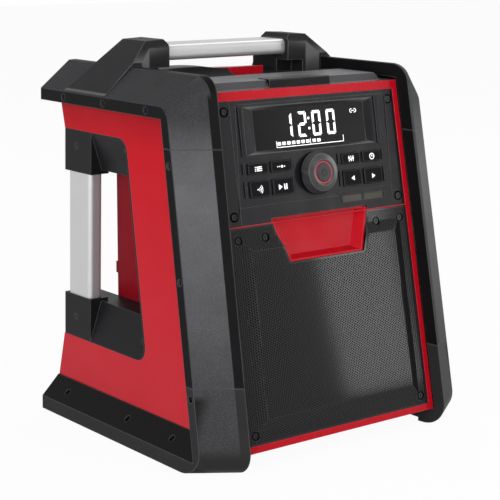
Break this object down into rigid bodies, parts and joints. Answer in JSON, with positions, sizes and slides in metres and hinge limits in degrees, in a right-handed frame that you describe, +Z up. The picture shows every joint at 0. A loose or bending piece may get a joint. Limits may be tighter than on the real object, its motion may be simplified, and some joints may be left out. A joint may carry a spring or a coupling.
{
  "type": "jobsite radio",
  "caption": "Jobsite radio with a sloping control front, perforated speaker grille, rubber corner cage, aluminium grab bars and handle, lidded compartment and slide-in battery.",
  "frame": {"origin": "middle of the overall box's base, on the floor under the radio", "axes": "+Z up, the front with the grille and controls faces -Y, +X is the radio's right as one looks at its front"},
  "size_m": [0.33, 0.3071, 0.391],
  "materials": {
    "rubber_black": "textured elastomer, matt, charcoal",
    "plastic_black": "fine-grained black moulding",
    "plastic_dark": "satin black moulding of the panel",
    "plastic_red": "semi-gloss red moulding",
    "aluminium_bar": "brushed anodised aluminium",
    "grille_mesh": "perforated sheet, black paint",
    "steel_black": "blackened screws",
    "steel_plain": "plain steel",
    "window_clear": "smoked display window",
    "window_grey": "translucent grey window",
    "ring_red": "red light guide",
    "board_green": "printed circuit board",
    "silicone_grey": "grey silicone",
    "paper_cone": "treated paper cone",
    "ferrite": "ferrite magnet"
  },
  "bodies": {
    "radio": {"amplifier_board": "board_green", "baffle": "plastic_black", "battery_dock": "plastic_black", "cage_screws": "steel_black", "compartment_tray": "plastic_black", "control_board": "board_green", "control_panel": "plastic_dark", "device_sockets": "plastic_black", "encoder": "plastic_black", "front_housing": "plastic_red", "grille_screws": "steel_black", "handle_bar": "aluminium_bar", "indicator_lenses": "window_grey", "keypad": "silicone_grey", "lcd_lens": "window_clear", "lcd_module": "plastic_dark", "left_bar_surround": "plastic_black", "left_foot_bumper": "rubber_black", "left_handle_bracket": "plastic_black", "left_leg_bumper": "rubber_black", "left_side_bar": "aluminium_bar", "left_side_panel": "plastic_red", "left_top_cap": "rubber_black", "lid_gasket": "silicone_grey", "lid_hinge_pin": "steel_plain", "light_ring": "ring_red", "main_housing": "plastic_red", "panel_screws": "steel_black", "power_inlet": "plastic_black", "power_supply": "plastic_black", "rear_cover": "plastic_red", "rear_panel": "plastic_black", "right_bar_surround": "plastic_black", "right_foot_bumper": "rubber_black", "right_handle_bracket": "plastic_black", "right_leg_bumper": "rubber_black", "right_side_bar": "aluminium_bar", "right_side_panel": "plastic_red", "right_top_cap": "rubber_black", "speaker_grille": "grille_mesh", "surround_screws": "steel_black", "top_deck": "plastic_black", "woofer_cones": "paper_cone", "woofer_frames": "steel_plain", "woofer_magnets": "ferrite"},
    "volume_knob": {"volume_knob": "plastic_dark"},
    "power_button": {"power_button": "plastic_dark"},
    "lid": {"lid": "plastic_black"},
    "lid_latch": {"lid_latch": "plastic_black"},
    "battery_pack": {"battery_pack": "plastic_black"},
    "left_release_tab": {"left_release_tab": "plastic_red"},
    "right_release_tab": {"right_release_tab": "plastic_red"},
    "mode_key": {"mode_key": "plastic_dark"},
    "preset_key": {"preset_key": "plastic_dark"},
    "equaliser_key": {"equaliser_key": "plastic_dark"},
    "clock_key": {"clock_key": "plastic_dark"},
    "pairing_key": {"pairing_key": "plastic_dark"},
    "play_key": {"play_key": "plastic_dark"},
    "previous_key": {"previous_key": "plastic_dark"},
    "next_key": {"next_key": "plastic_dark"}
  },
  "joints": [
    {"name": "volume_turn", "type": "hinge", "parent": "radio", "child": "volume_knob", "pos_m": [0, -0.09397, 0.26749], "axis": [0, -0.9834, 0.1814], "continuous": true},
    {"name": "power_press", "type": "slide", "parent": "radio", "child": "power_button", "axis": [0, 0.9834, -0.1814], "range_m": [0, 0.001], "stiffness_N_per_m": 800, "springref_m": -0.001},
    {"name": "lid_hinge", "type": "hinge", "parent": "radio", "child": "lid", "pos_m": [0, -0.0053, 0.3515], "axis": [-1, 0, 0], "range_deg": [0, 100]},
    {"name": "latch_hinge", "type": "hinge", "parent": "lid", "child": "lid_latch", "pos_m": [0, -0.052, 0.356], "axis": [-1, 0, 0], "range_deg": [0, 30], "stiffness_Nm_per_rad": 0.05, "springref_deg": -17.19},
    {"name": "battery_slide", "type": "slide", "parent": "radio", "child": "battery_pack", "axis": [0, 1, 0], "range_m": [0, 0.11]},
    {"name": "left_tab_press", "type": "slide", "parent": "battery_pack", "child": "left_release_tab", "axis": [1, 0, 0], "range_m": [0, 0.0015], "stiffness_N_per_m": 1000, "springref_m": -0.001},
    {"name": "right_tab_press", "type": "slide", "parent": "battery_pack", "child": "right_release_tab", "axis": [-1, 0, 0], "range_m": [0, 0.0015], "stiffness_N_per_m": 1000, "springref_m": -0.001},
    {"name": "mode_press", "type": "slide", "parent": "radio", "child": "mode_key", "axis": [0, 0.9834, -0.1814], "range_m": [0, 0.0012], "stiffness_N_per_m": 600, "springref_m": -0.001},
    {"name": "preset_press", "type": "slide", "parent": "radio", "child": "preset_key", "axis": [0, 0.9834, -0.1814], "range_m": [0, 0.0012], "stiffness_N_per_m": 600, "springref_m": -0.001},
    {"name": "equaliser_press", "type": "slide", "parent": "radio", "child": "equaliser_key", "axis": [0, 0.9834, -0.1814], "range_m": [0, 0.0012], "stiffness_N_per_m": 600, "springref_m": -0.001},
    {"name": "clock_press", "type": "slide", "parent": "radio", "child": "clock_key", "axis": [0, 0.9834, -0.1814], "range_m": [0, 0.0012], "stiffness_N_per_m": 600, "springref_m": -0.001},
    {"name": "pairing_press", "type": "slide", "parent": "radio", "child": "pairing_key", "axis": [0, 0.9834, -0.1814], "range_m": [0, 0.0012], "stiffness_N_per_m": 600, "springref_m": -0.001},
    {"name": "play_press", "type": "slide", "parent": "radio", "child": "play_key", "axis": [0, 0.9834, -0.1814], "range_m": [0, 0.0012], "stiffness_N_per_m": 600, "springref_m": -0.001},
    {"name": "previous_press", "type": "slide", "parent": "radio", "child": "previous_key", "axis": [0, 0.9834, -0.1814], "range_m": [0, 0.0012], "stiffness_N_per_m": 600, "springref_m": -0.001},
    {"name": "next_press", "type": "slide", "parent": "radio", "child": "next_key", "axis": [0, 0.9834, -0.1814], "range_m": [0, 0.0012], "stiffness_N_per_m": 600, "springref_m": -0.001}
  ]
}
